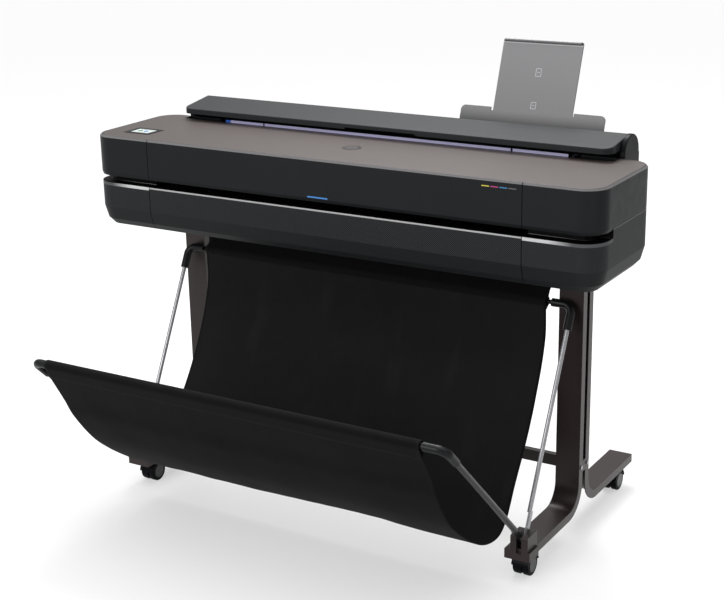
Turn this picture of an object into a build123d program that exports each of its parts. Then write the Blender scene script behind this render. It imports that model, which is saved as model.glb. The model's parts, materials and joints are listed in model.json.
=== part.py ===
from build123d import *
import math
import os

# Large format roll plotter on a wheeled stand, with a folding fabric output basket.
#
# Frame: X to the right as seen from the front, Y towards the back, Z up, millimetres.
# The origin is on the floor, under the middle of the whole object.

# ---------- driving dimensions ----------
BODY_WIDTH = 1317.0
BODY_DEPTH = 304.0
BODY_TOP = 868.0
BODY_BOTTOM = 647.0
CORNER_R = 54.0
WALL = 3.0
SHEET_WIDTH = 914.0              # widest roll that it prints, 36 inches

SLOT_TOP = 771.0                 # output slot between the upper and the lower covers
SLOT_BOTTOM = 754.0
SLOT_SIDE_LENGTH = 74.0          # how far the slot runs back round each corner
SLOT_DEPTH = 30.0                # from the outer skin to the slot's inner wall
SIDE_SEAM = 774.0
SEAM_X = 487.5                   # seams between the middle covers and the end covers
SEAM_GAP = 0.4                   # half of the visible gap at a seam
EDGE_HEIGHT = 7.0                # bevel along the lower edge of the upper covers
EDGE_INSET = 2.0
RIM = 5.5                        # width of the rim round the top cover
BAND_BOTTOM = 692.0              # lower edge of the textured band
BEVEL_BOTTOM = 662.0
BEVEL_INSET = 8.0
UNDERSIDE_INSET = 22.0

HOUSING_HALF_WIDTH = 588.0
HOUSING_CORNER_Y = 390.0         # where the housing's cut-off rear corners start
HOUSING_REAR = 440.0
HOUSING_REAR_HALF_WIDTH = 556.0
HOUSING_BOTTOM = 757.0
HOUSING_TOP = 880.0
ROLL_Y = 335.0                   # roll spindle axis, behind the body's front face
ROLL_Z = 815.0
LID_HALF_WIDTH = 575.0
LID_HINGE_Y = 409.0
LID_HINGE_Z = 886.0
LUG_X = 540.0                    # inner faces of the lugs that carry the roll cover
OPENING_FRONT = 267.0            # front edge of the roll opening in the top cover

FEEDER_X = 302.0                 # middle of the sheet feeder
FEEDER_LEAN = 20.0               # degrees from upright
FEEDER_Y = 430.0                 # where the feeder plane crosses the housing's top
EXTENSION_WIDTH = 202.0
EXTENSION_TOP = 215.0            # measured up the plate from the housing's top
WING_WIDTH = 367.0
WING_HEIGHT = 50.0
PLATE = 3.0
SHEET_GAP = 9.0                  # slot in front of the feeder's plate

LEG_X = 516.0
LEG_WIDTH = 58.0
CHANNEL_DEPTH = 20.0
CHANNEL_WALL = 2.5
FRONT_WEB_Y = 202.0              # outer faces of the two upright channels of each leg
REAR_WEB_Y = 257.0
FOOT_TOP = 77.0
BEND_R = 50.0
FOOT_FRONT = -24.0
FOOT_REAR = 534.0
SOCKET_REAR_Y = 494.0
SOCKET_FRONT_Y = -30.0

WHEEL_R = 25.0
CASTER_TRAIL = 11.0

PIVOT_Y = -46.0                  # basket pivot in the holders
PIVOT_Z = 92.0
ARM_X = 524.0
FRONT_BAR_Y = -384.0
FRONT_BAR_Z = 428.0
FRONT_BAR_SHIFT = -9.0            # the front bar sits this far to the left of the middle
REAR_BAR_Y = 188.0
REAR_BAR_Z = 558.0
TUBE_R = 7.0
REAR_TUBE_R = 5.0
SLEEVE_R = 12.0
FABRIC = 3.0
FABRIC_HALF_WIDTH = 466.0

RAIL_Z = 811.0
FEED_Y = 195.0
FEED_Z = 742.0
GEAR_MODULE = 1.25
FEED_TEETH = 60
PINION_TEETH = 12
CARRIAGE_PARK_X = 535.0
BELT_Y = 150.0
BELT_R = 10.0
PULLEY_X = 591.0

# The body's front face stands this far behind the origin, so that the whole object is centred.
FRONT_Y = -(FOOT_REAR + FRONT_BAR_Y - SLEEVE_R) / 2


def back(distance):
    """Y of a plane that lies this far behind the body's front face."""
    return FRONT_Y + distance


def save(builder, name):
    builder.part.label = name
    export_step(builder.part, "parts/" + name + ".step")


def block(x_range, y_range, z_range, mode=Mode.ADD):
    """A box between two x, two depths behind the front face and two heights."""
    size = [high - low for low, high in (x_range, y_range, z_range)]
    middle = [(low + high) / 2 for low, high in (x_range, y_range, z_range)]
    with Locations((middle[0], back(middle[1]), middle[2])):
        Box(size[0], size[1], size[2], mode=mode)


def rod(point, radius, length, axis, mode=Mode.ADD):
    """A cylinder that starts at a point (x, depth, z) and runs along X, Y or Z."""
    turn = {"x": (0, 90, 0), "y": (-90, 0, 0), "z": (0, 0, 0)}[axis]
    with Locations(Location((point[0], back(point[1]), point[2]), turn)):
        Cylinder(radius, length, align=(Align.CENTER, Align.CENTER, Align.MIN), mode=mode)


def plan(z, inset):
    """The body's rounded plan outline at a height, drawn in by an inset."""
    with BuildSketch(Plane.XY.offset(z)) as outline:
        with Locations((0, back(BODY_DEPTH / 2))):
            RectangleRounded(BODY_WIDTH - 2 * inset, BODY_DEPTH - 2 * inset, CORNER_R - inset)
    return outline.sketch


def mirrored_pair(sign, low, high):
    """An x range on the right, or its mirror image on the left."""
    return (low, high) if sign > 0 else (-high, -low)


SIDES = {"left": -1, "right": 1}
lean = math.radians(FEEDER_LEAN)
# plane of the sheet feeder: local x runs along X, local y up the plate, the normal points forward
feeder_plane = Plane(
    origin=(FEEDER_X, back(FEEDER_Y), HOUSING_TOP),
    x_dir=(1, 0, 0),
    z_dir=(0, -math.cos(lean), math.sin(lean)),
)
os.makedirs("parts", exist_ok=True)

# ---------- upper covers: front door, two end covers and the top skin ----------
with BuildPart() as upper_ring:
    loft([plan(SLOT_TOP, EDGE_INSET), plan(SLOT_TOP + EDGE_HEIGHT, 0)], ruled=True)
    extrude(plan(SLOT_TOP + EDGE_HEIGHT, 0), amount=BODY_TOP - SLOT_TOP - EDGE_HEIGHT)
    chamfer(upper_ring.faces().sort_by(Axis.Z)[-1].edges(), length=4.4)
    extrude(plan(SLOT_TOP, WALL), amount=BODY_TOP - SLOT_TOP - 8, mode=Mode.SUBTRACT)
    extrude(plan(BODY_TOP - 8, RIM), amount=8, mode=Mode.SUBTRACT)

with BuildPart() as front_door:
    add(upper_ring.part)
    door_x = (-SEAM_X + SEAM_GAP, SEAM_X - SEAM_GAP)
    block(door_x, (-1, RIM), (SLOT_TOP - 1, BODY_TOP + 1), mode=Mode.INTERSECT)
    # stiffening ribs behind the panel
    for x in range(-450, 451, 100):
        block((x - 1, x + 1), (WALL - 0.5, RIM - 0.2), (SLOT_TOP + 12, BODY_TOP - 12))
    # lifting lip in the middle of the lower edge
    block((-40, 20), (WALL - 0.5, RIM - 0.2), (SLOT_TOP + 0.5, SLOT_TOP + 8))
save(front_door, "front_door")

for side, sign in SIDES.items():
    with BuildPart() as end_cover:
        add(upper_ring.part)
        outer_x = mirrored_pair(sign, SEAM_X + SEAM_GAP, BODY_WIDTH / 2 + 1)
        block(outer_x, (-1, BODY_DEPTH + 1), (SLOT_TOP - 1, BODY_TOP + 1), mode=Mode.INTERSECT)
        below_seam = (SLOT_TOP - 1, SIDE_SEAM + 0.5)
        block(outer_x, (SLOT_SIDE_LENGTH, BODY_DEPTH + 1), below_seam, mode=Mode.SUBTRACT)
    save(end_cover, "end_cover_" + side)

with BuildPart() as top_cover:
    extrude(plan(BODY_TOP - 2.6, RIM + 0.3), amount=2.6)
    fillet(top_cover.faces().sort_by(Axis.Z)[-1].edges(), radius=0.6)
    roll_gap_x = (-LID_HALF_WIDTH - 4, LID_HALF_WIDTH + 4)
    block(roll_gap_x, (OPENING_FRONT, BODY_DEPTH + 1), (BODY_TOP - 4, BODY_TOP + 1), mode=Mode.SUBTRACT)
    # pocket for the touch panel
    block((-601.2, -524.8), (54.8, 115.2), (BODY_TOP - 1.6, BODY_TOP + 1), mode=Mode.SUBTRACT)
save(top_cover, "top_cover")

# ---------- lower covers ----------
with BuildPart() as lower_shell:
    extrude(plan(BAND_BOTTOM, 0), amount=SIDE_SEAM - 0.5 - BAND_BOTTOM)
    loft([plan(BAND_BOTTOM, 0), plan(BEVEL_BOTTOM, BEVEL_INSET)], ruled=True)
    loft([plan(BEVEL_BOTTOM, BEVEL_INSET), plan(BODY_BOTTOM, UNDERSIDE_INSET)], ruled=True)
    extrude(plan(BAND_BOTTOM, WALL), amount=SIDE_SEAM - BAND_BOTTOM, mode=Mode.SUBTRACT)
    bevel_inside = plan(BEVEL_BOTTOM + 1, BEVEL_INSET + WALL)
    loft([plan(BAND_BOTTOM, WALL), bevel_inside], ruled=True, mode=Mode.SUBTRACT)
    floor_inside = plan(BODY_BOTTOM + WALL, UNDERSIDE_INSET + WALL)
    loft([bevel_inside, floor_inside], ruled=True, mode=Mode.SUBTRACT)

with BuildPart() as lower_front_panel:
    add(lower_shell.part)
    panel_x = (-SEAM_X + SEAM_GAP, SEAM_X - SEAM_GAP)
    block(panel_x, (-1, 60), (BODY_BOTTOM - 1, SLOT_BOTTOM), mode=Mode.INTERSECT)
    # lip that carries the sheet out over the front edge
    block(panel_x, (0, 19.5), (SLOT_BOTTOM - 3, SLOT_BOTTOM))
    lip = lower_front_panel.edges().filter_by(Axis.X).group_by(Axis.Z)[-1].sort_by(Axis.Y)[0]
    fillet(lip, radius=2.2)
save(lower_front_panel, "lower_front_panel")

for side, sign in SIDES.items():
    with BuildPart() as lower_end_cover:
        add(lower_shell.part)
        outer_x = mirrored_pair(sign, SEAM_X + SEAM_GAP, BODY_WIDTH / 2 + 1)
        block(outer_x, (-1, BODY_DEPTH + 1), (BODY_BOTTOM - 1, SIDE_SEAM), mode=Mode.INTERSECT)
        slot_zone = (SLOT_BOTTOM, SIDE_SEAM + 1)
        block(outer_x, (-1, SLOT_SIDE_LENGTH), slot_zone, mode=Mode.SUBTRACT)
        # floor and inner wall of the slot where it turns the corner
        with BuildPart(mode=Mode.PRIVATE) as slot_liner:
            extrude(plan(SLOT_BOTTOM - 3, WALL - 0.5), amount=3)
            extrude(plan(SLOT_BOTTOM - 3, SLOT_DEPTH), amount=SLOT_TOP - SLOT_BOTTOM + 3)
            core = plan(SLOT_BOTTOM - 4, SLOT_DEPTH + WALL)
            extrude(core, amount=SLOT_TOP - SLOT_BOTTOM + 5, mode=Mode.SUBTRACT)
            block(outer_x, (WALL - 0.5, SLOT_SIDE_LENGTH), (SLOT_BOTTOM - 3, SLOT_TOP), mode=Mode.INTERSECT)
            end_x = mirrored_pair(sign, BODY_WIDTH / 2 - SLOT_DEPTH - WALL, BODY_WIDTH / 2 - WALL + 0.5)
            end_y = (SLOT_SIDE_LENGTH - WALL, SLOT_SIDE_LENGTH)
            block(end_x, end_y, (SLOT_BOTTOM - 3, SLOT_TOP))
        add(slot_liner.part)
    save(lower_end_cover, "lower_end_cover_" + side)

BOARD_X = (150.0, 400.0)
PORT_XS = (190.0, 240.0, 340.0)
PORT_Z = 716.0
INLET_X = -380.0
BUTTON_X = -310.0
with BuildPart() as bottom_pan:
    add(lower_shell.part)
    pan_x = (-SEAM_X + SEAM_GAP, SEAM_X - SEAM_GAP)
    block(pan_x, (60.5, BODY_DEPTH + 1), (BODY_BOTTOM - 1, HOUSING_BOTTOM - 2), mode=Mode.INTERSECT)
    rear_wall_y = (BODY_DEPTH - 5, BODY_DEPTH + 1)
    for x in PORT_XS:
        block((x - 9, x + 9), rear_wall_y, (PORT_Z - 8.5, PORT_Z + 8.5), mode=Mode.SUBTRACT)
    inlet_hole_z = (PORT_Z - 12.2, PORT_Z + 12.2)
    block((INLET_X - 15.2, INLET_X + 15.2), rear_wall_y, inlet_hole_z, mode=Mode.SUBTRACT)
    rod((BUTTON_X, BODY_DEPTH - 5, PORT_Z), 7.4, 6, "y", mode=Mode.SUBTRACT)
save(bottom_pan, "bottom_pan")

# ---------- rear housing that holds the roll ----------
def housing_profile(inset):
    """Side profile of the rear housing, with its lower rear corner rounded."""
    front = back(BODY_DEPTH + 0.5)
    rear = back(HOUSING_REAR - inset)
    bottom = HOUSING_BOTTOM + inset
    with BuildSketch(Plane.YZ) as profile:
        with BuildLine():
            corner = 40 - inset
            Polyline((rear, bottom + corner), (rear, HOUSING_TOP - inset), (front, HOUSING_TOP - inset))
            Polyline((front, HOUSING_TOP - inset), (front, bottom), (rear - corner, bottom))
            CenterArc((rear - corner, bottom + corner), corner, -90, 90)
        make_face()
    return profile.sketch


def housing_form(inset):
    """The housing's outer form drawn in by a wall thickness; its rear corners are cut off in plan."""
    half = HOUSING_HALF_WIDTH - inset
    corner_y = HOUSING_CORNER_Y - inset / 2
    rear_half = HOUSING_REAR_HALF_WIDTH - inset
    with BuildPart() as form:
        extrude(housing_profile(inset), amount=half, both=True)
        with BuildSketch(Plane.XY.offset(HOUSING_BOTTOM - 1)):
            corner = back(corner_y)
            rear = back(HOUSING_REAR)
            Polygon((-half, back(0)), (half, back(0)), (half, corner), (rear_half, rear), (-rear_half, rear),
                    (-half, corner), align=None)
        extrude(amount=HOUSING_TOP, mode=Mode.INTERSECT)
    return form.part


with BuildPart() as rear_housing:
    add(housing_form(0))
    add(housing_form(WALL), mode=Mode.SUBTRACT)
    # opening for the roll, under the roll cover
    roll_opening_x = (-LID_HALF_WIDTH - 2, LID_HALF_WIDTH + 2)
    block(roll_opening_x, (BODY_DEPTH, 402), (HOUSING_TOP - 12, HOUSING_TOP + 1), mode=Mode.SUBTRACT)
    block((-HOUSING_HALF_WIDTH - 1, HOUSING_HALF_WIDTH + 1), (BODY_DEPTH, 402), (BODY_TOP, HOUSING_TOP + 1),
          mode=Mode.SUBTRACT)
    for sign in SIDES.values():
        # decks beside the roll opening
        deck_x = mirrored_pair(sign, LID_HALF_WIDTH + 2, HOUSING_HALF_WIDTH - 1)
        block(deck_x, (BODY_DEPTH + 0.5, HOUSING_CORNER_Y), (BODY_TOP - WALL, BODY_TOP))
        # cradles with open slots for the spindle's journals
        block(mirrored_pair(sign, 484, 490), (306, 404), (HOUSING_BOTTOM + 1, ROLL_Z + 16))
        block(mirrored_pair(sign, 483, 491), (ROLL_Y - 7.1, ROLL_Y + 7.1), (ROLL_Z, ROLL_Z + 17),
              mode=Mode.SUBTRACT)
        rod((mirrored_pair(sign, 483, 491)[0], ROLL_Y, ROLL_Z), 7.1, 8, "x", mode=Mode.SUBTRACT)
        # lugs that carry the roll cover's trunnions
        lug_x = mirrored_pair(sign, LUG_X, LUG_X + 10)
        block(lug_x, (LID_HINGE_Y - 8, LID_HINGE_Y + 8), (HOUSING_TOP - WALL, LID_HINGE_Z))
        rod((lug_x[0], LID_HINGE_Y, LID_HINGE_Z), 8, 10, "x")
        rod((lug_x[0] - 1, LID_HINGE_Y, LID_HINGE_Z), 3.06, 12, "x", mode=Mode.SUBTRACT)
    # slot in the top for the sheet feeder's two plates, with room for the sheet before them
    with BuildSketch(feeder_plane.offset(1)):
        Rectangle(EXTENSION_WIDTH + 2, 40)
    extrude(amount=-PLATE - 2, mode=Mode.SUBTRACT)
    with BuildSketch(feeder_plane):
        Rectangle(WING_WIDTH + 1, 24)
    extrude(amount=PLATE + SHEET_GAP, mode=Mode.SUBTRACT)
save(rear_housing, "rear_housing")

# ---------- roll cover, its side ears and the paper guide ----------
LID_FRONT = 255.0
LID_LIP = 883.0
LID_EDGE_TOP = 896.0
RIDGE_Y = 362.0
RIDGE_Z = 911.0
LID_RIM = 7.0
HINGE_BARREL_R = 4.5


def lid_solid(drop, inset, floor):
    """The roll cover's outer form, lowered and drawn in by a wall thickness."""
    half = LID_HALF_WIDTH - inset
    with BuildPart() as form:
        with BuildSketch(Plane.YZ):
            with BuildLine():
                Polyline(
                    (back(LID_FRONT + inset), floor),
                    (back(LID_FRONT + inset), LID_EDGE_TOP - drop + inset * 0.23),
                    (back(RIDGE_Y), RIDGE_Z - drop),
                    (back(LID_HINGE_Y - inset), LID_HINGE_Z + HINGE_BARREL_R - drop + inset * 0.4),
                    (back(LID_HINGE_Y - inset), floor),
                    close=True,
                )
            make_face()
        extrude(amount=half, both=True)
        with BuildSketch(Plane.XY.offset(floor - 1)):
            with Locations((0, back(LID_FRONT + inset + 100))):
                RectangleRounded(2 * half, 200, 24 - inset)
        extrude(amount=RIDGE_Z, mode=Mode.INTERSECT)
    return form.part


with BuildPart() as roll_cover:
    add(lid_solid(0, 0, LID_LIP))
    top_edges = roll_cover.faces().filter_by(lambda face: face.normal_at().Z > 0.9).edges()
    fillet(top_edges.filter_by(Axis.X).sort_by(Axis.Y)[0], radius=2.5)
    add(lid_solid(3.5, LID_RIM, LID_LIP - 1), mode=Mode.SUBTRACT)
    # finger recess in the middle of the front lip
    recess_y = (LID_FRONT - 1, LID_FRONT + LID_RIM + 1)
    block((-95, 95), recess_y, (LID_LIP - 1, LID_LIP + 4), mode=Mode.SUBTRACT)
    rod((-LID_HALF_WIDTH, LID_HINGE_Y, LID_HINGE_Z), HINGE_BARREL_R, 2 * LID_HALF_WIDTH, "x")
    for sign in SIDES.values():
        notch_x = mirrored_pair(sign, LUG_X - 0.5, LUG_X + 10.5)
        rod((notch_x[0], LID_HINGE_Y, LID_HINGE_Z), 8.6, 11, "x", mode=Mode.SUBTRACT)
    rod((-LUG_X - 12, LID_HINGE_Y, LID_HINGE_Z), 3, 2 * LUG_X + 24, "x")
save(roll_cover, "roll_cover")

EAR_R = 42.0
EAR_Y = 346.5
EAR_Z = 872.5
with BuildPart() as roll_cover_ears:
    # round cheek at the right end of the cover, and a low one at the left end
    rod((LID_HALF_WIDTH + 1.5, EAR_Y, EAR_Z), EAR_R, 11.5, "x")
    right_x = (LID_HALF_WIDTH + 1.5, LID_HALF_WIDTH + 13)
    block(right_x, (EAR_Y - EAR_R, EAR_Y + EAR_R), (BODY_TOP, EAR_Z))
    block((0, 700), (EAR_Y - EAR_R - 1, EAR_Y + EAR_R + 1), (BODY_TOP - 50, BODY_TOP), mode=Mode.SUBTRACT)
    round_rims = roll_cover_ears.edges().filter_by(GeomType.CIRCLE)
    fillet(round_rims, radius=2)
    left_x = (-LID_HALF_WIDTH - 13, -LID_HALF_WIDTH - 1.5)
    block(left_x, (EAR_Y - EAR_R, EAR_Y + EAR_R), (BODY_TOP, BODY_TOP + 14))
save(roll_cover_ears, "roll_cover_ears")

with BuildPart() as paper_guide:
    for guide_x in ((-435, -337), (-333, 333), (338, 472), (-450, -435.5)):
        block(guide_x, (OPENING_FRONT, OPENING_FRONT + 2.5), (BODY_TOP - 20, BODY_TOP + 6))
save(paper_guide, "paper_guide")

# ---------- roll spindle ----------
with BuildPart() as roll_spindle:
    rod((-480, ROLL_Y, ROLL_Z), 11, 960, "x")
    rod((-500, ROLL_Y, ROLL_Z), 7, 1000, "x")
    rod((-508, ROLL_Y, ROLL_Z), 12, 8, "x")
    rod((500, ROLL_Y, ROLL_Z), 12, 8, "x")
save(roll_spindle, "roll_spindle")

with BuildPart() as spindle_hubs:
    for sign in SIDES.values():
        flange_x = mirrored_pair(sign, SHEET_WIDTH / 2 + 0.5, SHEET_WIDTH / 2 + 5.5)
        sleeve_x = mirrored_pair(sign, SHEET_WIDTH / 2 - 40, SHEET_WIDTH / 2 + 0.5)
        rod((flange_x[0], ROLL_Y, ROLL_Z), 44, 5, "x")
        rod((sleeve_x[0], ROLL_Y, ROLL_Z), 25, 40.5, "x")
    rod((-SHEET_WIDTH / 2 - 8, ROLL_Y, ROLL_Z), 11, SHEET_WIDTH + 16, "x", mode=Mode.SUBTRACT)
save(spindle_hubs, "spindle_hubs")

# ---------- sheet feeder ----------
with BuildPart() as feeder_plate:
    with BuildSketch(feeder_plane.offset(0.3)) as wing_face:
        with Locations((0, WING_HEIGHT / 2 - 4)):
            Rectangle(WING_WIDTH, WING_HEIGHT + 8)
        fillet(wing_face.vertices().group_by(Axis.Z)[-1], radius=12)
        with Locations((0, WING_HEIGHT)):
            Rectangle(EXTENSION_WIDTH + 8, 20, mode=Mode.SUBTRACT)
    extrude(amount=PLATE)
    # guides behind the plate that the extension slides in
    with BuildSketch(feeder_plane.offset(0.3)):
        for sign in SIDES.values():
            with Locations((sign * (EXTENSION_WIDTH / 2 + 3.4), 22)):
                Rectangle(5, 40)
    extrude(amount=-PLATE - 0.6)
    with BuildSketch(feeder_plane.offset(-PLATE - 0.3)):
        for sign in SIDES.values():
            with Locations((sign * (EXTENSION_WIDTH / 2 + 0.9), 22)):
                Rectangle(10, 40)
    extrude(amount=-1.5)
save(feeder_plate, "feeder_plate")

with BuildPart() as feeder_extension:
    with BuildSketch(feeder_plane) as extension_face:
        with Locations((0, EXTENSION_TOP / 2 + 2.5)):
            Rectangle(EXTENSION_WIDTH, EXTENSION_TOP - 5)
        fillet(extension_face.vertices().group_by(Axis.Z)[-1], radius=5)
    extrude(amount=-PLATE)
    # rolled lip along the upper edge
    lip_plane = Plane(origin=feeder_plane.origin, x_dir=feeder_plane.y_dir, z_dir=(1, 0, 0))
    with BuildSketch(lip_plane.offset(-EXTENSION_WIDTH / 2 + 4)):
        with Locations((EXTENSION_TOP - 3.6, 0)):
            Circle(3.6)
    extrude(amount=EXTENSION_WIDTH - 8)
save(feeder_extension, "feeder_extension")

# ---------- touch panel and power button ----------
PANEL_X = -563.0
PANEL_Y = 85.0
with BuildPart() as display_bezel:
    bezel_y = (PANEL_Y - 30, PANEL_Y + 30)
    block((PANEL_X - 38, PANEL_X + 38), bezel_y, (BODY_TOP - 1.6, BODY_TOP + 0.8))
    fillet(display_bezel.edges().filter_by(Axis.Z), radius=3)
    glass_y = (PANEL_Y - 19, PANEL_Y + 19)
    block((PANEL_X - 26, PANEL_X + 26), glass_y, (BODY_TOP - 0.4, BODY_TOP + 1), mode=Mode.SUBTRACT)
save(display_bezel, "display_bezel")

with BuildPart() as display_screen:
    block((PANEL_X - 26, PANEL_X + 26), (PANEL_Y - 19, PANEL_Y + 19), (BODY_TOP - 0.4, BODY_TOP + 0.5))
save(display_screen, "display_screen")

with BuildPart() as power_button:
    rod((BUTTON_X, BODY_DEPTH - 6, PORT_Z), 7, 8.5, "y")
    fillet(power_button.faces().sort_by(Axis.Y)[-1].edges(), radius=1.2)
    rod((BUTTON_X, BODY_DEPTH - 8, PORT_Z), 9, 2, "y")
save(power_button, "power_button")

# ---------- chassis, rail, platen and paper drive ----------
PLATE_X = 609.0
MOTOR_ANGLE = math.radians(-30)
CENTRE_DISTANCE = GEAR_MODULE * (FEED_TEETH + PINION_TEETH) / 2 + 0.15
MOTOR_Y = FEED_Y + CENTRE_DISTANCE * math.cos(MOTOR_ANGLE)
MOTOR_Z = FEED_Z + CENTRE_DISTANCE * math.sin(MOTOR_ANGLE)
FEED_R = 15.0
PINCH_R = 7.0
PINCH_Z = FEED_Z + FEED_R + PINCH_R + 0.3
with BuildPart() as chassis_plates:
    for sign in SIDES.values():
        plate_x = mirrored_pair(sign, PLATE_X, PLATE_X + 3)
        block(plate_x, (36, 274), (BODY_BOTTOM + WALL, 858))
        rod((plate_x[0] - 1, FEED_Y, FEED_Z), 6.06, 5, "x", mode=Mode.SUBTRACT)
        rod((plate_x[0] - 1, FEED_Y, PINCH_Z), 3.06, 5, "x", mode=Mode.SUBTRACT)
    rod((-PLATE_X - 4, MOTOR_Y, MOTOR_Z), 6, 5, "x", mode=Mode.SUBTRACT)
    # shelf and pin for the belt's idler pulley
    block((PULLEY_X - 12, PLATE_X), (BELT_Y - 10, BELT_Y + 10), (839, 842))
    rod((PULLEY_X, BELT_Y, 842), 3, 12, "z")
save(chassis_plates, "chassis_plates")

with BuildPart() as carriage_rail:
    block((-PLATE_X, PLATE_X), (182, 206), (RAIL_Z - 25, RAIL_Z + 25))
    block((-PLATE_X - 1, PLATE_X + 1), (184.5, 207), (RAIL_Z - 22.5, RAIL_Z + 22.5), mode=Mode.SUBTRACT)
save(carriage_rail, "carriage_rail")

with BuildPart() as platen:
    block((-PLATE_X, PLATE_X), (60, 150), (712, 733))
    block((-PLATE_X - 1, PLATE_X + 1), (62.5, 147.5), (711, 730.5), mode=Mode.SUBTRACT)
    block((-478, 478), (20, 176), (733, 748))
    for x in range(-460, 461, 20):
        block((x - 1.5, x + 1.5), (24, 172), (748, 751))
save(platen, "platen")

with BuildPart() as feed_roller:
    rod((-480, FEED_Y, FEED_Z), FEED_R, 960, "x")
    rod((-628, FEED_Y, FEED_Z), 6, 1244, "x")
save(feed_roller, "feed_roller")

with BuildPart() as pinch_rollers:
    rod((-PLATE_X - 3, FEED_Y, PINCH_Z), 3, 2 * PLATE_X + 6, "x")
    for x in range(-440, 441, 80):
        rod((x - 15, FEED_Y, PINCH_Z), PINCH_R, 30, "x")
save(pinch_rollers, "pinch_rollers")


def gear_solid(teeth, first_tooth, x_start, width, centre):
    """A spur gear with straight-flanked teeth, lying across X."""
    pitch_r = GEAR_MODULE * teeth / 2
    root_r = pitch_r - 1.25 * GEAR_MODULE
    tip_r = pitch_r + 0.85 * GEAR_MODULE
    gear_plane = Plane(origin=(x_start, back(centre[0]), centre[1]), x_dir=(0, 1, 0), z_dir=(1, 0, 0))
    with BuildPart() as gear:
        with BuildSketch(gear_plane):
            Circle(root_r)
            with PolarLocations(0, teeth, start_angle=first_tooth):
                Polygon(
                    (root_r - 0.4, -0.85 * GEAR_MODULE),
                    (tip_r, -0.34 * GEAR_MODULE),
                    (tip_r, 0.34 * GEAR_MODULE),
                    (root_r - 0.4, 0.85 * GEAR_MODULE),
                    align=None,
                )
        extrude(amount=width)
    return gear.part


with BuildPart() as feed_gear:
    add(gear_solid(FEED_TEETH, 0, -625, 8, (FEED_Y, FEED_Z)))
    rod((-626, FEED_Y, FEED_Z), 12, 10, "x")
    rod((-627, FEED_Y, FEED_Z), 6, 12, "x", mode=Mode.SUBTRACT)
save(feed_gear, "feed_gear")

with BuildPart() as motor_pinion:
    add(gear_solid(PINION_TEETH, 180 / PINION_TEETH, -626, 10, (MOTOR_Y, MOTOR_Z)))
    rod((-626, MOTOR_Y, MOTOR_Z), 2.5, 24, "x")
save(motor_pinion, "motor_pinion")

with BuildPart() as drive_motors:
    rod((-PLATE_X, MOTOR_Y, MOTOR_Z), 20, 44, "x")
    rod((-PLATE_X, MOTOR_Y, MOTOR_Z), 2.56, 10, "x", mode=Mode.SUBTRACT)
    rod((-PULLEY_X, BELT_Y, 792), 18, 47, "z")
    rod((-PULLEY_X, BELT_Y, 828), 2.56, 11, "z", mode=Mode.SUBTRACT)
save(drive_motors, "drive_motors")

# ---------- carriage drive ----------
BELT_LOW = 845.0
BELT_HIGH = 851.0
with BuildPart() as drive_belt:
    with BuildSketch(Plane.XY.offset(BELT_LOW)):
        with Locations((0, back(BELT_Y))):
            SlotCenterToCenter(2 * PULLEY_X, 2 * (BELT_R + 0.7))
            SlotCenterToCenter(2 * PULLEY_X, 2 * (BELT_R - 0.7), mode=Mode.SUBTRACT)
    extrude(amount=BELT_HIGH - BELT_LOW)
save(drive_belt, "drive_belt")

with BuildPart() as drive_pulley:
    rod((-PULLEY_X, BELT_Y, BELT_LOW - 1.5), BELT_R - 1.1, BELT_HIGH - BELT_LOW + 3, "z")
    rod((-PULLEY_X, BELT_Y, BELT_LOW - 2.5), BELT_R + 1, 1.5, "z")
    rod((-PULLEY_X, BELT_Y, BELT_HIGH + 1), BELT_R + 1, 1.5, "z")
    rod((-PULLEY_X, BELT_Y, 830), 2.5, 20, "z")
save(drive_pulley, "drive_pulley")

with BuildPart() as idler_pulley:
    rod((PULLEY_X, BELT_Y, BELT_LOW - 1.5), BELT_R - 1.1, BELT_HIGH - BELT_LOW + 3, "z")
    rod((PULLEY_X, BELT_Y, BELT_LOW - 2.5), BELT_R + 1, 1.5, "z")
    rod((PULLEY_X, BELT_Y, BELT_HIGH + 1), BELT_R + 1, 1.5, "z")
    rod((PULLEY_X, BELT_Y, BELT_LOW - 3), 3.06, 12, "z", mode=Mode.SUBTRACT)
save(idler_pulley, "idler_pulley")

with BuildPart() as carriage:
    carriage_x = (CARRIAGE_PARK_X - 48, CARRIAGE_PARK_X + 48)
    block(carriage_x, (100, 181.5), (757, 838))
    fillet(carriage.edges().filter_by(Axis.Z), radius=5)
    # hook over the rail's rear edge
    block(carriage_x, (172, 212), (837.2, 840.5))
    block(carriage_x, (207, 212), (822, 840))
    # belt clamp
    clamp_x = (CARRIAGE_PARK_X - 15, CARRIAGE_PARK_X + 15)
    block(clamp_x, (BELT_Y - BELT_R - 6, BELT_Y - BELT_R + 6), (837, 853))
    belt_y = (BELT_Y - BELT_R - 1.1, BELT_Y - BELT_R + 1.1)
    block((clamp_x[0] - 1, clamp_x[1] + 1), belt_y, (BELT_LOW - 0.5, 854), mode=Mode.SUBTRACT)
save(carriage, "carriage")

with BuildPart() as printhead:
    block((CARRIAGE_PARK_X - 34, CARRIAGE_PARK_X + 34), (112, 166), (754, 757))
save(printhead, "printhead")

# ---------- service station, ink, electronics ----------
with BuildPart() as service_station:
    block((492, 600), (98, 174), (733, 751))
    block((498, 594), (104, 168), (742, 752), mode=Mode.SUBTRACT)
    for cap_y in (122, 138, 154):
        block((CARRIAGE_PARK_X - 28, CARRIAGE_PARK_X + 28), (cap_y - 5, cap_y + 5), (742, 752))
save(service_station, "service_station")

with BuildPart() as cartridge_bay:
    block((388, PLATE_X), (38, 96), (771.5, 775))
    block((388, 484), (14, 40), (771.5, 775))
    block((388, 484), (92.5, 96), (775, 800))
    for step in range(5):
        wall_x = 394 + 20.6 * step
        block((wall_x - 1.2, wall_x + 1.2), (14, 92.5), (775, 800))
save(cartridge_bay, "cartridge_bay")

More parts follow.
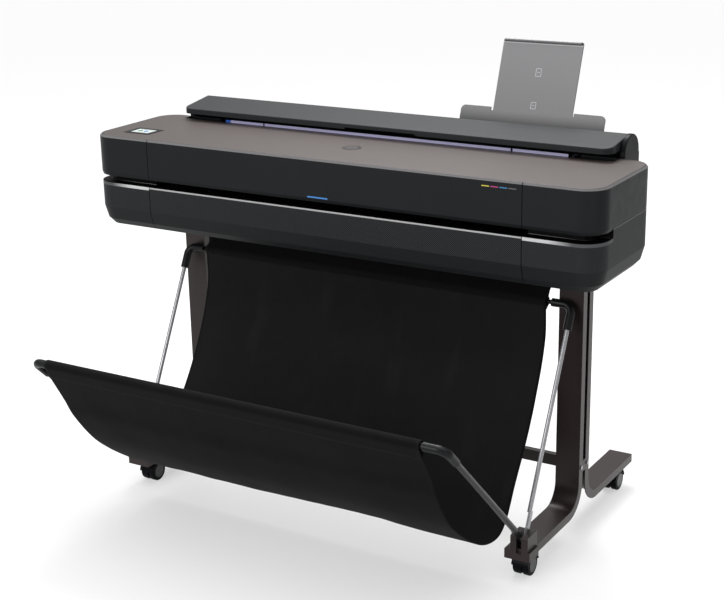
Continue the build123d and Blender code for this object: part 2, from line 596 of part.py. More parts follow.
with BuildPart() as ink_cartridges:
    for step in range(4):
        ink_x = 394 + 20.6 * (step + 0.5)
        block((ink_x - 8.6, ink_x + 8.6), (12, 92), (775, 846))
    fillet(ink_cartridges.edges().filter_by(Axis.Z), radius=2)
save(ink_cartridges, "ink_cartridges")

with BuildPart() as power_supply:
    block((-460, -290), (110, 260), (BODY_BOTTOM + WALL, 692))
    for x in range(-440, -309, 12):
        block((x, x + 5), (130, 240), (690, 693), mode=Mode.SUBTRACT)
save(power_supply, "power_supply")

with BuildPart() as main_board:
    block(BOARD_X, (284, 285.6), (668, 745))
    for x in PORT_XS:
        # data port closed by its blanking plug, which stands a little back from the port's rim
        block((x - 8, x + 8), (285.6, BODY_DEPTH - 0.5), (PORT_Z - 7.5, PORT_Z + 7.5))
        block((x - 6.5, x + 6.5), (BODY_DEPTH - 1.5, BODY_DEPTH), (PORT_Z - 6, PORT_Z + 6), mode=Mode.SUBTRACT)
    for x in (180, 260, 330):
        block((x - 15, x + 15), (280, 284), (680, 700))
    for x in (170, 380):
        block((x - 4, x + 4), (270, 278), (BODY_BOTTOM + WALL, 672))
        block((x - 4, x + 4), (270, 284), (668, 672))
save(main_board, "main_board")

with BuildPart() as power_inlet:
    block((INLET_X - 14.6, INLET_X + 14.6), (BODY_DEPTH - 24, BODY_DEPTH), (PORT_Z - 11.6, PORT_Z + 11.6))
    block((INLET_X - 24, INLET_X + 24), (BODY_DEPTH, BODY_DEPTH + 2), (PORT_Z - 14, PORT_Z + 14))
    socket_z = (PORT_Z - 8.5, PORT_Z + 8.5)
    block((INLET_X - 12, INLET_X + 12), (BODY_DEPTH - 16, BODY_DEPTH + 3), socket_z, mode=Mode.SUBTRACT)
    for x, z in ((-7, -1.5), (7, -1.5), (0, 3)):
        pin_z = (PORT_Z + z - 2, PORT_Z + z + 2)
        block((INLET_X + x - 1, INLET_X + x + 1), (BODY_DEPTH - 16, BODY_DEPTH - 2), pin_z)
save(power_inlet, "power_inlet")

# ---------- stand ----------
LEG_TOP = BODY_BOTTOM - 7.0
FOOT_BOTTOM = FOOT_TOP - CHANNEL_DEPTH


def channel_profile(centre_x, sign, web_y, foot_end, skin, z_top):
    """Side outline of a J-shaped channel: sign is -1 for the front foot, 1 for the rear foot.

    skin is the thickness left between the outline and the channel's smooth outer face.
    """
    inner_r = BEND_R + skin
    outer_r = BEND_R + CHANNEL_DEPTH + (1 if skin else 0)
    bend_y = back(web_y + sign * BEND_R)
    bend_z = FOOT_TOP + BEND_R
    end_y = back(foot_end)
    start, sweep = (0, -90) if sign < 0 else (180, 90)
    inner_y = bend_y - sign * inner_r
    outer_y = bend_y - sign * outer_r
    with BuildSketch(Plane.YZ.offset(centre_x)) as profile:
        with BuildLine():
            CenterArc((bend_y, bend_z), inner_r, start, sweep)
            CenterArc((bend_y, bend_z), outer_r, start, sweep)
            Polyline((inner_y, bend_z), (inner_y, z_top), (outer_y, z_top), (outer_y, bend_z))
            foot_levels = (bend_z - inner_r, bend_z - outer_r)
            Polyline((bend_y, foot_levels[0]), (end_y, foot_levels[0]), (end_y, foot_levels[1]),
                     (bend_y, foot_levels[1]))
        make_face()
    return profile.sketch


def leg_channel(side_sign, sign, web_y, foot_end):
    """One upright and its foot, bent from a single U-shaped channel."""
    centre_x = side_sign * LEG_X
    with BuildPart() as channel:
        outline = channel_profile(centre_x, sign, web_y, foot_end, 0, LEG_TOP)
        extrude(outline, amount=LEG_WIDTH / 2, both=True)
        hollow = channel_profile(centre_x, sign, web_y, foot_end - sign * 3, CHANNEL_WALL, LEG_TOP + 1)
        extrude(hollow, amount=LEG_WIDTH / 2 - CHANNEL_WALL, both=True, mode=Mode.SUBTRACT)
    return channel.part


for side, side_sign in SIDES.items():
    with BuildPart() as leg_front:
        add(leg_channel(side_sign, -1, FRONT_WEB_Y, FOOT_FRONT))
        # plate that joins both uprights under the body
        top_x = mirrored_pair(side_sign, LEG_X - 36, LEG_X + 36)
        block(top_x, (FRONT_WEB_Y - 6, REAR_WEB_Y + 6), (LEG_TOP, BODY_BOTTOM))
    save(leg_front, "leg_front_" + side)

    with BuildPart() as leg_rear:
        add(leg_channel(side_sign, 1, REAR_WEB_Y, FOOT_REAR))
        # socket for the caster's stem
        socket_x = mirrored_pair(side_sign, LEG_X - 13, LEG_X + 13)
        block(socket_x, (SOCKET_REAR_Y - 13, SOCKET_REAR_Y + 13), (FOOT_BOTTOM, FOOT_TOP - 1))
        rod((side_sign * LEG_X, SOCKET_REAR_Y, FOOT_BOTTOM - 1), 5.06, 16, "z", mode=Mode.SUBTRACT)
    save(leg_rear, "leg_rear_" + side)

    # holder on the front foot: caster socket below, basket pivot above
    with BuildPart() as holder:
        base_x = mirrored_pair(side_sign, LEG_X - 26, LEG_X + 34)
        block(base_x, (-70, FOOT_FRONT), (FOOT_BOTTOM - 2, FOOT_TOP))
        # two upright cheeks beside the arms
        cheeks_x = mirrored_pair(side_sign, ARM_X - 20, ARM_X + 21)
        block(cheeks_x, (-70, -22), (FOOT_TOP, 112))
        fillet(holder.edges().filter_by(Axis.X).group_by(Axis.Z)[-1], radius=4)
        arm_slot = mirrored_pair(side_sign, ARM_X - 6, ARM_X + 6)
        block(arm_slot, (-71, 0), (FOOT_TOP + 3, 120), mode=Mode.SUBTRACT)
        block(arm_slot, (-71, -64), (FOOT_TOP - 6, 120), mode=Mode.SUBTRACT)
        rod((mirrored_pair(side_sign, ARM_X - 10, ARM_X + 10)[0], PIVOT_Y, PIVOT_Z), 3, 20, "x")
        rod((side_sign * LEG_X, SOCKET_FRONT_Y, FOOT_BOTTOM - 3), 5.06, 17, "z", mode=Mode.SUBTRACT)
    save(holder, "basket_holder_" + side)

with BuildPart() as crossbar:
    gap = (FRONT_WEB_Y + CHANNEL_DEPTH, REAR_WEB_Y - CHANNEL_DEPTH)
    block((-LEG_X - 29, LEG_X + 29), gap, (153, 180))
    block((-LEG_X - 30, LEG_X + 30), (gap[0] + 1.5, gap[1] - 1.5), (154.5, 178.5), mode=Mode.SUBTRACT)
    for sign in SIDES.values():
        block(mirrored_pair(sign, LEG_X + 26, LEG_X + 29), gap, (153, 180))
save(crossbar, "crossbar")

with BuildPart() as stand_screws:
    for sign in SIDES.values():
        for depth in (FRONT_WEB_Y + 10, REAR_WEB_Y - 10):
            head_x = mirrored_pair(sign, LEG_X + LEG_WIDTH / 2, LEG_X + LEG_WIDTH / 2 + 2.6)[0]
            rod((head_x, depth, 166.5), 5, 2.6, "x")
save(stand_screws, "stand_screws")

# ---------- casters ----------
HOOD_R = 28.5
CASTERS = {
    "front_left": (-LEG_X, SOCKET_FRONT_Y, 1, FOOT_BOTTOM - 2),
    "front_right": (LEG_X, SOCKET_FRONT_Y, 1, FOOT_BOTTOM - 2),
    "rear_left": (-LEG_X, SOCKET_REAR_Y, 1, FOOT_BOTTOM),
    "rear_right": (LEG_X, SOCKET_REAR_Y, -1, FOOT_BOTTOM),
}
for place, (swivel_x, swivel_y, trail_sign, seat_z) in CASTERS.items():
    axle_y = swivel_y + trail_sign * CASTER_TRAIL
    with BuildPart() as hood:
        rod((swivel_x - 20, axle_y, WHEEL_R), HOOD_R, 40, "x")
        rod((swivel_x - 21, axle_y, WHEEL_R), HOOD_R - 2.5, 42, "x", mode=Mode.SUBTRACT)
        # the hood covers the upper part of the wheels
        hood_y = (axle_y - 30, axle_y + 30)
        block((swivel_x - 21, swivel_x + 21), hood_y, (-5, WHEEL_R + 4), mode=Mode.SUBTRACT)
        rod((swivel_x - 3, axle_y, WHEEL_R), HOOD_R - 2, 6, "x")
        block((swivel_x - 4, swivel_x + 4), hood_y, (-5, WHEEL_R - 12), mode=Mode.SUBTRACT)
        rod((swivel_x - 4, axle_y, WHEEL_R), 4.06, 8, "x", mode=Mode.SUBTRACT)
        block((swivel_x - 20, swivel_x + 20), (swivel_y - 12, swivel_y + 12), (50.6, seat_z - 1.5))
        rod((swivel_x, swivel_y, seat_z - 1.5), 11, 1.2, "z")
        rod((swivel_x, swivel_y, seat_z - 1), 5, 13, "z")
    save(hood, "caster_hood_" + place)

    with BuildPart() as wheels:
        rod((swivel_x - 19, axle_y, WHEEL_R), 4, 38, "x")
        for wheel_x in (swivel_x - 19, swivel_x + 3.5):
            rod((wheel_x, axle_y, WHEEL_R), WHEEL_R, 15.5, "x")
        fillet(wheels.edges().filter_by(lambda edge: abs(edge.radius - WHEEL_R) < 0.01
                                        if edge.geom_type == GeomType.CIRCLE else False), radius=2.5)
    save(wheels, "caster_wheels_" + place)

# ---------- basket frames ----------
BLADE_LENGTH = 62.0
BLADE = 5.2
ELBOW_R = 9.5
ELBOW_BEND = 20.0
ELBOW_ARM = 56.0                 # from the corner to the elbow's end on the arm
ELBOW_BAR = 47.5                 # and on the bar


def tube_along(points, radius):
    """A round bar along straight runs that are joined by bends, through points (x, depth, z)."""
    with BuildPart() as tube:
        with BuildLine() as path:
            FilletPolyline([(x, back(depth), z) for x, depth, z in points], radius=ELBOW_BEND)
        with BuildSketch(Plane(origin=path.line @ 0, z_dir=path.line % 0)):
            Circle(radius)
        sweep(path=path.line)
    return tube.part


def basket_frame(bar_y, bar_z, blade_offset, radius, shift):
    """A U-shaped tube frame: two arms that rise from the pivots to a bar, with flat ends."""
    reach = math.hypot(bar_y - PIVOT_Y, bar_z - PIVOT_Z)
    along = (0, (bar_y - PIVOT_Y) / reach, (bar_z - PIVOT_Z) / reach)
    foot_y = PIVOT_Y + along[1] * BLADE_LENGTH
    foot_z = PIVOT_Z + along[2] * BLADE_LENGTH
    corners = [(sign * ARM_X + shift, bar_y, bar_z) for sign in SIDES.values()]
    with BuildPart() as frame:
        add(tube_along([(-ARM_X, foot_y, foot_z), *corners, (ARM_X, foot_y, foot_z)], radius))
        for sign in SIDES.values():
            blade_low = min(sign * blade_offset, sign * (blade_offset + BLADE))
            blade_plane = Plane(origin=(sign * ARM_X + blade_low, back(PIVOT_Y), PIVOT_Z), x_dir=along,
                                z_dir=(1, 0, 0))
            with BuildSketch(blade_plane):
                Circle(8)
                with Locations(((BLADE_LENGTH + 4) / 2, 0)):
                    Rectangle(BLADE_LENGTH + 4, 13)
            extrude(amount=BLADE)
        rod((-ARM_X - 20, PIVOT_Y, PIVOT_Z), 3.06, 2 * ARM_X + 40, "x", mode=Mode.SUBTRACT)
    return frame.part


def basket_elbows(bar_y, bar_z, frame, shift):
    """Bent plastic sleeves over the ends of the arms and the bar."""
    reach = math.hypot(bar_y - PIVOT_Y, bar_z - PIVOT_Z)
    arm_end_y = bar_y - (bar_y - PIVOT_Y) / reach * ELBOW_ARM
    arm_end_z = bar_z - (bar_z - PIVOT_Z) / reach * ELBOW_ARM
    arm_end_shift = shift * (1 - ELBOW_ARM / reach)
    with BuildPart() as elbows:
        for sign in SIDES.values():
            arm_end = (sign * ARM_X + arm_end_shift, arm_end_y, arm_end_z)
            corner = (sign * ARM_X + shift, bar_y, bar_z)
            bar_end = (sign * (ARM_X - ELBOW_BAR) + shift, bar_y, bar_z)
            add(tube_along([arm_end, corner, bar_end], ELBOW_R))
        add(frame, mode=Mode.SUBTRACT)
    return elbows.part


with BuildPart() as basket_front_frame:
    add(basket_frame(FRONT_BAR_Y, FRONT_BAR_Z, -0.3 - BLADE, TUBE_R, FRONT_BAR_SHIFT))
save(basket_front_frame, "basket_front_frame")
with BuildPart() as basket_front_elbows:
    add(basket_elbows(FRONT_BAR_Y, FRONT_BAR_Z, basket_front_frame.part, FRONT_BAR_SHIFT))
save(basket_front_elbows, "basket_front_elbows")
with BuildPart() as basket_rear_frame:
    add(basket_frame(REAR_BAR_Y, REAR_BAR_Z, 0.3, REAR_TUBE_R, 0))
save(basket_rear_frame, "basket_rear_frame")
with BuildPart() as basket_rear_elbows:
    add(basket_elbows(REAR_BAR_Y, REAR_BAR_Z, basket_rear_frame.part, 0))
save(basket_rear_elbows, "basket_rear_elbows")


def fabric_panel(paths, bar_y, bar_z):
    """Sheet of cloth along side curves (depth, height), with a sleeve round the frame's bar."""
    with BuildPart() as panel:
        with BuildSketch(Plane.YZ):
            for points in paths:
                with BuildLine():
                    Spline([(back(depth), height) for depth, height in points])
                trace(line_width=FABRIC)
            with Locations((back(bar_y), bar_z)):
                Circle(SLEEVE_R)
                Circle(TUBE_R + 0.3, mode=Mode.SUBTRACT)
        extrude(amount=FABRIC_HALF_WIDTH, both=True)
    return panel.part


front_drop = [(FRONT_BAR_Y + 3, FRONT_BAR_Z - 10), (-347, 340), (-319, 283), (-262, 203), (-173, 133),
              (-110, 102), (-50, 93)]
rear_drop = [(REAR_BAR_Y - 2, REAR_BAR_Z - 10), (187, 480), (166, 420), (141, 360), (110, 300), (72, 240),
             (28, 180), (-13, 118), (-42, 93)]
flap_rise = [(REAR_BAR_Y + 6, REAR_BAR_Z + 9), (212, 592), (236, BODY_BOTTOM - 2)]
with BuildPart() as basket_fabric_front:
    add(fabric_panel([front_drop], FRONT_BAR_Y, FRONT_BAR_Z))
save(basket_fabric_front, "basket_fabric_front")
with BuildPart() as basket_fabric_rear:
    add(fabric_panel([rear_drop, flap_rise], REAR_BAR_Y, REAR_BAR_Z))
save(basket_fabric_rear, "basket_fabric_rear")
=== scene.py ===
import bpy
import json
import math
import numpy as np
from mathutils import Matrix, Vector, noise


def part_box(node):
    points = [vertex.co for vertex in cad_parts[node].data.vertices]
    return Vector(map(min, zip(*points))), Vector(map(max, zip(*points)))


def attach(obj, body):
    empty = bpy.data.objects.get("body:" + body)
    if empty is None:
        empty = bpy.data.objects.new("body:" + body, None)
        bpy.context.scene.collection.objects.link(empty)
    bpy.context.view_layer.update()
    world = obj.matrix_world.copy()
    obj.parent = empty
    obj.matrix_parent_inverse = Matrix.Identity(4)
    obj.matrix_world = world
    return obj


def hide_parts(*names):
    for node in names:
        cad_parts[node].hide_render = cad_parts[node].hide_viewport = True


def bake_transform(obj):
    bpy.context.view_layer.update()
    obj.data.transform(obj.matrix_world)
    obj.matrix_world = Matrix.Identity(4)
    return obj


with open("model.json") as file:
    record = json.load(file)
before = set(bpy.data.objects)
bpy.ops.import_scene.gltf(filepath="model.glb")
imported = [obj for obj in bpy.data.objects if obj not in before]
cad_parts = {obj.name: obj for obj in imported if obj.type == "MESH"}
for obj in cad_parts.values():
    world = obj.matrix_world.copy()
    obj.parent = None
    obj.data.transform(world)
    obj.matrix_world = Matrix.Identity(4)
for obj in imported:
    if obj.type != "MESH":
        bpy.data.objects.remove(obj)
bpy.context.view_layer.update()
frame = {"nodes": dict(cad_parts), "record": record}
nodes = frame["nodes"]


# ---------- places taken from the frame ----------
def low(node):
    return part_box(node)[0]


def high(node):
    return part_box(node)[1]


FRONT = low("front_door").y                       # the body's front face
TOP = high("end_cover_left").z                    # height of the body's rim


# ---------- node helpers ----------
class Nodes:
    """Short calls for building one material's node tree."""

    def __init__(self, name):
        self.material = bpy.data.materials.new(name)
        self.material.use_nodes = True
        self.tree = self.material.node_tree
        self.shader = self.tree.nodes["Principled BSDF"]
        self.coords = self.make("ShaderNodeTexCoord").outputs["Object"]

    def make(self, kind, **settings):
        node = self.tree.nodes.new(kind)
        for key, value in settings.items():
            setattr(node, key, value)
        return node

    def plug(self, value, socket):
        if isinstance(value, bpy.types.NodeSocket):
            self.tree.links.new(value, socket)
        else:
            socket.default_value = value

    def maths(self, operation, a, b=0.0):
        node = self.make("ShaderNodeMath", operation=operation)
        self.plug(a, node.inputs[0])
        self.plug(b, node.inputs[1])
        return node.outputs[0]

    def noise(self, scale, detail=2.0, rough=0.5, coords=None):
        node = self.make("ShaderNodeTexNoise")
        self.plug(self.coords if coords is None else coords, node.inputs["Vector"])
        node.inputs["Scale"].default_value = scale
        node.inputs["Detail"].default_value = detail
        node.inputs["Roughness"].default_value = rough
        return node.outputs["Fac"]

    def stretched(self, factors):
        node = self.make("ShaderNodeVectorMath", operation="MULTIPLY")
        self.plug(self.coords, node.inputs[0])
        node.inputs[1].default_value = factors
        return node.outputs[0]

    def remap(self, value, low_in, high_in, low_out=0.0, high_out=1.0):
        node = self.make("ShaderNodeMapRange")
        self.plug(value, node.inputs["Value"])
        node.inputs["From Min"].default_value = low_in
        node.inputs["From Max"].default_value = high_in
        node.inputs["To Min"].default_value = low_out
        node.inputs["To Max"].default_value = high_out
        return node.outputs["Result"]

    def between(self, value, first, last):
        """1 between two numbers and 0 outside them."""
        node = self.make("ShaderNodeMath", operation="COMPARE")
        self.plug(value, node.inputs[0])
        node.inputs[1].default_value = (first + last) / 2
        node.inputs[2].default_value = (last - first) / 2
        return node.outputs[0]

    def mix(self, factor, a, b):
        node = self.make("ShaderNodeMix", data_type="RGBA")
        self.plug(factor, node.inputs[0])
        self.plug(a, node.inputs[6])
        self.plug(b, node.inputs[7])
        return node.outputs[2]

    def axes(self):
        node = self.make("ShaderNodeSeparateXYZ")
        self.plug(self.coords, node.inputs[0])
        return node.outputs

    def normal_axes(self):
        node = self.make("ShaderNodeSeparateXYZ")
        self.plug(self.make("ShaderNodeNewGeometry").outputs["Normal"], node.inputs[0])
        return node.outputs

    def soft_edges(self, radius):
        node = self.make("ShaderNodeBevel", samples=4)
        node.inputs["Radius"].default_value = radius
        return node.outputs[0]

    def bump(self, height, strength, distance, under=None):
        node = self.make("ShaderNodeBump")
        self.plug(height, node.inputs["Height"])
        node.inputs["Strength"].default_value = strength
        node.inputs["Distance"].default_value = distance
        if under is not None:
            self.plug(under, node.inputs["Normal"])
        return node.outputs[0]

    def shade_of(self, color, factor):
        """A linked colour made darker by a factor."""
        node = self.make("ShaderNodeVectorMath", operation="SCALE")
        self.plug(color, node.inputs[0])
        node.inputs["Scale"].default_value = factor
        return node.outputs[0]

    def finish(self, color, rough, normal=None, metallic=0.0, **extra):
        """Set the shader's sockets; an extra one is named with _ for each space."""
        self.plug(color, self.shader.inputs["Base Color"])
        self.plug(rough, self.shader.inputs["Roughness"])
        self.shader.inputs["Metallic"].default_value = metallic
        if normal is not None:
            self.plug(normal, self.shader.inputs["Normal"])
        for key, value in extra.items():
            self.shader.inputs[key.replace("_", " ")].default_value = value
        return self.material


def linear(r, g, b):
    """A colour given as it looks on screen, 0 to 255, as the shader's linear values."""
    def one(channel):
        share = channel / 255
        return share / 12.92 if share <= 0.04045 else ((share + 0.055) / 1.055) ** 2.4
    return (one(r), one(g), one(b), 1.0)


def shade(color, factor):
    return (color[0] * factor, color[1] * factor, color[2] * factor, 1.0)


# ---------- materials ----------
def plastic(name, color, rough, grain=0.25, gloss=0.25):
    """Moulded plastic: fine grain, slight mottling in colour and gloss, softened edges."""
    n = Nodes(name)
    fine = n.noise(1400, 2.0, 0.6)
    broad = n.noise(9.0, 3.0, 0.5)
    base = n.mix(n.remap(fine, 0.3, 0.7), shade(color, 0.88), shade(color, 1.12))
    base = n.mix(n.remap(broad, 0.35, 0.65, 0.0, 0.35), base, shade(color, 1.12))
    shine = n.remap(n.noise(35.0, 4.0), 0.3, 0.7, rough - 0.04, rough + 0.05)
    normal = n.bump(fine, grain, 0.0002, n.soft_edges(0.0008))
    return n.finish(base, shine, normal, Specular_IOR_Level=gloss)


def metal(name, color, rough, stretch=(1.0, 1.0, 1.0), metallic=1.0):
    """Metal with drawn or brushed marks along one direction."""
    n = Nodes(name)
    marks = n.noise(500, 3.0, 0.6, n.stretched(stretch))
    base = n.mix(n.remap(marks, 0.3, 0.7), shade(color, 0.85), shade(color, 1.12))
    shine = n.remap(marks, 0.3, 0.7, rough - 0.06, rough + 0.08)
    return n.finish(base, shine, n.bump(marks, 0.15, 0.0002, n.soft_edges(0.0005)), metallic)


def top_skin_material():
    """Grey-brown metallic paint with a fine sparkle."""
    n = Nodes("top_skin")
    color = linear(56, 48, 46)
    sparkle = n.noise(1100, 2.0, 0.7)
    cloud = n.noise(6.0, 2.0)
    base = n.mix(n.remap(sparkle, 0.35, 0.65), shade(color, 0.72), shade(color, 1.28))
    base = n.mix(n.remap(cloud, 0.35, 0.65, 0.0, 0.3), base, shade(color, 1.1))
    shine = n.remap(sparkle, 0.3, 0.7, 0.36, 0.5)
    return n.finish(base, shine, n.bump(sparkle, 0.25, 0.0002, n.soft_edges(0.0006)), 0.45)


LID_EDGE = 0.872                                  # height of the roll cover's lower edge
FEEDER_EDGE = 0.893                               # height where the sheet feeder comes out of its slot


def lid_material():
    """Charcoal grey with a fine metallic speckle, and painted shade below the cover's edge."""
    n = Nodes("lid_shell")
    color = linear(34, 36, 37)
    speck = n.noise(900, 2.0, 0.7)
    base = n.mix(n.remap(speck, 0.35, 0.65), shade(color, 0.76), shade(color, 1.24))
    # painted shade: everything below the roll cover's edge is darkened to 35 %
    base = n.mix(n.remap(n.axes()[2], LID_EDGE, LID_EDGE + 0.006), n.shade_of(base, 0.35), base)
    shine = n.remap(speck, 0.3, 0.7, 0.42, 0.56)
    normal = n.bump(speck, 0.35, 0.0002, n.soft_edges(0.0012))
    return n.finish(base, shine, normal, 0.1, Specular_IOR_Level=0.1)


def feeder_material():
    """Silver grey plastic with painted light and shade: lighter towards the top, painted shade on the upper
    edge with a painted highlight line under it, and painted shade near the slot and on the side faces.
    """
    n = Nodes("feeder_plastic")
    color = linear(107, 107, 108)
    top = high("feeder_extension").z
    z = n.axes()[2]
    speck = n.noise(1000, 2.0, 0.65)
    base = n.mix(n.remap(speck, 0.35, 0.65), shade(color, 0.88), shade(color, 1.12))
    # painted light: lighter towards the top
    base = n.mix(n.remap(z, 0.90, top), base, shade(color, 1.3))
    # painted highlight: a bright line just under the upper edge
    base = n.mix(n.between(z, top - 0.0098, top - 0.0076), base, shade(color, 2.2))
    # painted shade on the rolled upper edge
    base = n.mix(n.remap(z, top - 0.0074, top - 0.0068), base, shade(color, 0.7))
    # painted shade near where the feeder comes out of its slot
    base = n.mix(n.remap(z, FEEDER_EDGE, FEEDER_EDGE + 0.029), n.shade_of(base, 0.5), base)
    # painted shade on the side faces (the plates' thickness edges)
    base = n.mix(n.remap(n.maths("ABSOLUTE", n.normal_axes()[0]), 0.6, 0.7), base, shade(color, 0.06))
    normal = n.bump(speck, 0.3, 0.0002, n.soft_edges(0.0008))
    return n.finish(base, n.remap(speck, 0.3, 0.7, 0.34, 0.46), normal, 0.25, Specular_IOR_Level=0.25)


SEAM_X = 0.4875                                   # seams between the middle and the end covers
SIDE_JOINT = FRONT + 0.0745                       # upright joint in the end covers' side faces


def door_material():
    """Front door and end covers: satin charcoal and dark seams, with a painted highlight on the top chamfer,
    painted shade along the lower edge and a painted highlight line along the side joint.
    """
    n = Nodes("dark_shell")
    color = linear(24, 26, 27)
    x, y, z = n.axes()
    fine = n.noise(1400, 2.0, 0.6)
    base = n.mix(n.remap(fine, 0.3, 0.7), shade(color, 0.86), shade(color, 1.14))
    base = n.mix(n.remap(n.noise(7.0, 3.0), 0.35, 0.65, 0.0, 0.3), base, shade(color, 1.25))
    # painted shade on the bevel along the lower edge
    base = n.mix(n.remap(z, 0.7805, 0.7765), base, shade(color, 0.7))
    upward = n.normal_axes()[2]
    # painted highlight: the upward-facing top chamfer is painted pale
    lit_chamfer = n.remap(z, TOP - 0.0047, TOP - 0.0041)
    base = n.mix(n.maths("MULTIPLY", lit_chamfer, n.between(upward, 0.4, 0.9)), base, linear(88, 87, 88))
    base = n.mix(n.between(n.maths("ABSOLUTE", x), SEAM_X - 0.0010, SEAM_X + 0.0010), base, linear(5, 5, 5))
    # painted highlight: a pale line along the upright joint in the side faces
    joint = n.between(y, SIDE_JOINT, SIDE_JOINT + 0.0010)
    side = n.maths("MULTIPLY", joint, n.remap(n.maths("ABSOLUTE", x), 0.655, 0.6565))
    base = n.mix(side, base, shade(color, 2.2))
    normal = n.bump(fine, 0.14, 0.0002, n.soft_edges(0.0009))
    return n.finish(base, n.remap(n.noise(40.0, 4.0), 0.3, 0.7, 0.34, 0.42), normal, Specular_IOR_Level=0.06)


BAND_LOW = 0.692                                  # lowest height of the ribs on the lower covers
RIB_PITCH = 0.0044
SLOT_Z = 0.754                                    # floor of the output slot
SLOT_TOP = 0.7718


def textured_shell_material():
    """Lower covers: slanted ribs with painted light and shade on the upright band, plain below, a painted
    highlight along the slot's lip, painted shade on the slot's floor and walls, and a painted highlight line
    along the side's top edge.
    """
    n = Nodes("textured_shell")
    color = linear(28, 29, 30)
    x, y, z = n.axes()
    across = n.maths("ADD", x, y)
    slanted = n.maths("SUBTRACT", across, z)
    wave = n.maths("SINE", n.maths("MULTIPLY", slanted, 2 * math.pi / RIB_PITCH))
    band = n.remap(z, BAND_LOW, BAND_LOW + 0.0015)
    upright = n.remap(n.maths("ABSOLUTE", n.normal_axes()[2]), 0.15, 0.05)
    where = n.maths("MULTIPLY", band, upright)
    grain = n.noise(1500, 2.0, 0.6)
    plain = n.mix(n.remap(grain, 0.3, 0.7), shade(color, 0.85), shade(color, 1.15))
    # painted light and shade: each rib gets a dark and a pale stripe
    rib_light_and_shade = n.mix(n.remap(wave, -0.4, 0.4), shade(color, 0.12), shade(color, 2.6))
    base = n.mix(where, plain, rib_light_and_shade)
    # painted highlight along the slot's lower lip, brighter on the end covers and fading round the corners
    beyond = n.remap(n.maths("ABSOLUTE", x), SEAM_X - 0.0003, SEAM_X + 0.0003)
    lip_low = n.remap(beyond, 0.0, 1.0, SLOT_Z - 0.0042, SLOT_Z - 0.0075)
    lip = n.remap(n.maths("SUBTRACT", z, lip_low), 0.0, 0.0004)
    lip = n.maths("MULTIPLY", lip, n.remap(z, SLOT_Z + 0.001, SLOT_Z + 0.0002))
    lip = n.maths("MULTIPLY", lip, n.remap(y, SIDE_JOINT, SIDE_JOINT - 0.001))
    lip = n.maths("MULTIPLY", lip, n.remap(n.maths("ABSOLUTE", n.normal_axes()[2]), 0.8, 0.7))
    round_corner = n.remap(n.maths("ABSOLUTE", x), 0.545, 0.600)
    end_lip_highlight = n.mix(round_corner, linear(176, 176, 177), linear(70, 71, 72))
    base = n.mix(lip, base, n.mix(beyond, linear(150, 150, 151), end_lip_highlight))
    # painted shade: the slot's floor and inner walls are painted near black
    facing_up = n.remap(n.normal_axes()[2], 0.75, 0.85)
    inside = n.maths("MAXIMUM", n.remap(z, SLOT_Z + 0.0003, SLOT_Z + 0.0006),
                     n.maths("MULTIPLY", facing_up, n.remap(z, SLOT_Z - 0.0008, SLOT_Z - 0.0003)))
    inside = n.maths("MULTIPLY", inside, n.remap(y, SIDE_JOINT, SIDE_JOINT - 0.0005))
    base = n.mix(inside, base, linear(4, 4, 4))
    base = n.mix(n.between(n.maths("ABSOLUTE", x), SEAM_X - 0.0010, SEAM_X + 0.0010), base, linear(5, 5, 5))
    # painted highlight: a pale line along the top edge of the side faces behind the slot
    seam = n.maths("MULTIPLY", n.remap(z, SLOT_TOP, SLOT_TOP + 0.0004),
                   n.remap(y, SIDE_JOINT - 0.001, SIDE_JOINT))
    base = n.mix(seam, base, linear(98, 98, 100))
    normal = n.bump(grain, 0.2, 0.0002, n.soft_edges(0.0008))
    normal = n.bump(n.maths("MULTIPLY", wave, where), 0.5, 0.0003, normal)
    return n.finish(base, n.remap(grain, 0.3, 0.7, 0.4, 0.5), normal, Specular_IOR_Level=0.06)


def guide_material():
    """Pale lavender paper guide with a blue mark at its left end."""
    n = Nodes("guide_plastic")
    color = linear(158, 155, 188)
    x = n.axes()[0]
    fine = n.noise(1300, 2.0)
    base = n.mix(n.remap(fine, 0.3, 0.7), shade(color, 0.93), shade(color, 1.07))
    base = n.mix(n.remap(x, -0.4353, -0.4357), base, linear(18, 74, 160))
    normal = n.bump(fine, 0.1, 0.0001, n.soft_edges(0.0004))
    return n.finish(base, n.remap(fine, 0.3, 0.7, 0.28, 0.36), normal)


def stand_paint_material():
    """Satin dark brown powder coat."""
    n = Nodes("stand_paint")
    color = linear(38, 29, 29)
    texture = n.noise(900, 3.0, 0.6)
    cloud = n.noise(12, 2.0)
    base = n.mix(n.remap(texture, 0.3, 0.7), shade(color, 0.84), shade(color, 1.16))
    base = n.mix(n.remap(cloud, 0.4, 0.6, 0.0, 0.3), base, shade(color, 0.85))
    normal = n.bump(texture, 0.2, 0.0002, n.soft_edges(0.0014))
    return n.finish(base, n.remap(texture, 0.3, 0.7, 0.3, 0.4), normal, 0.3, Specular_IOR_Level=0.35)


